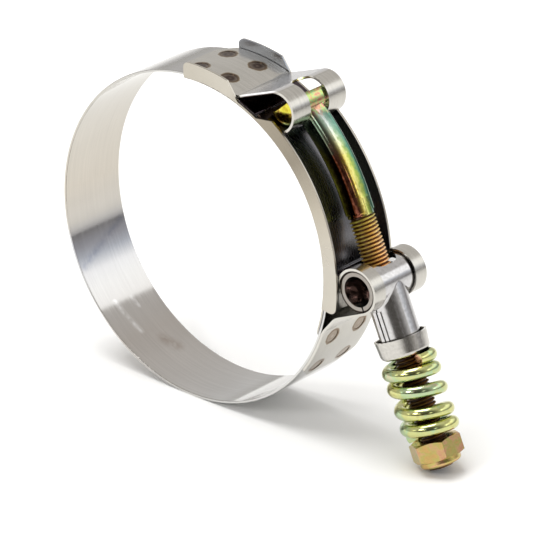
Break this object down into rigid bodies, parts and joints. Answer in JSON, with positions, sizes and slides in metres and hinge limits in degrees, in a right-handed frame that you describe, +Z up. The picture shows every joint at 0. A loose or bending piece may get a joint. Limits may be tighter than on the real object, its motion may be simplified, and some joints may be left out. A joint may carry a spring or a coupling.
{
  "type": "spring-loaded t-bolt band clamp",
  "caption": "Steel band clamp with a bridged gap, an arched T-bolt in a swivelling trunnion, a compression spring and a lock nut.",
  "frame": {"origin": "centre of the round space that the clamp closes on, half way along its width", "axes": "+Y along the clamped pipe, +X towards the T-bolt's side, +Z up as it stands on a table"},
  "size_m": [0.1149, 0.0204, 0.0859],
  "materials": {
    "band": "satin",
    "bridge": "satin",
    "bolt_saddle": "satin",
    "trunnion_saddle": "satin",
    "t_bolt": "gloss",
    "trunnion": "polished",
    "spring_cup": "polished",
    "spring": "gloss",
    "lock_nut": "satin",
    "nylon_insert": "matte"
  },
  "bodies": {
    "ring": {"band": "band", "bridge": "bridge", "bolt_saddle": "bolt_saddle"},
    "lower_saddle": {"trunnion_saddle": "trunnion_saddle"},
    "trunnion": {"trunnion": "trunnion", "spring_cup": "spring_cup"},
    "t_bolt": {"t_bolt": "t_bolt"},
    "spring": {"spring": "spring"},
    "nut": {"lock_nut": "lock_nut", "nylon_insert": "nylon_insert"}
  },
  "joints": [
    {"name": "band_closing", "type": "hinge", "parent": "ring", "child": "lower_saddle", "pos_m": [0, 0, 0], "axis": [0, -1, 0], "range_deg": [0, 15], "deforming": ["band"]},
    {"name": "bolt_swing", "type": "hinge", "parent": "ring", "child": "t_bolt", "pos_m": [0.02488, 0, 0.03928], "axis": [0, -1, 0], "range_deg": [0, 6.28]},
    {"name": "trunnion_swing", "type": "hinge", "parent": "lower_saddle", "child": "trunnion", "pos_m": [0.04982, 0, 0.0015], "axis": [0, -1, 0], "range_deg": [-8.73, 0]},
    {"name": "nut_travel", "type": "slide", "parent": "t_bolt", "child": "spring", "axis": [-0.4266, 0, 0.9045], "range_m": [0, 0.0161], "deforming": ["spring"]},
    {"name": "nut_turn", "type": "hinge", "parent": "spring", "child": "nut", "pos_m": [0.04982, 0, 0.0015], "axis": [-0.4266, 0, 0.9045], "range_deg": [0, 6360]}
  ],
  "couplings": [
    {"joint": "bolt_swing", "follows": "band_closing", "ratio": 0.4185},
    {"joint": "trunnion_swing", "follows": "band_closing", "ratio": -0.5815},
    {"joint": "nut_travel", "follows": "band_closing", "m_per_rad": 0.06113},
    {"joint": "nut_turn", "follows": "band_closing", "ratio": 423.5}
  ]
}
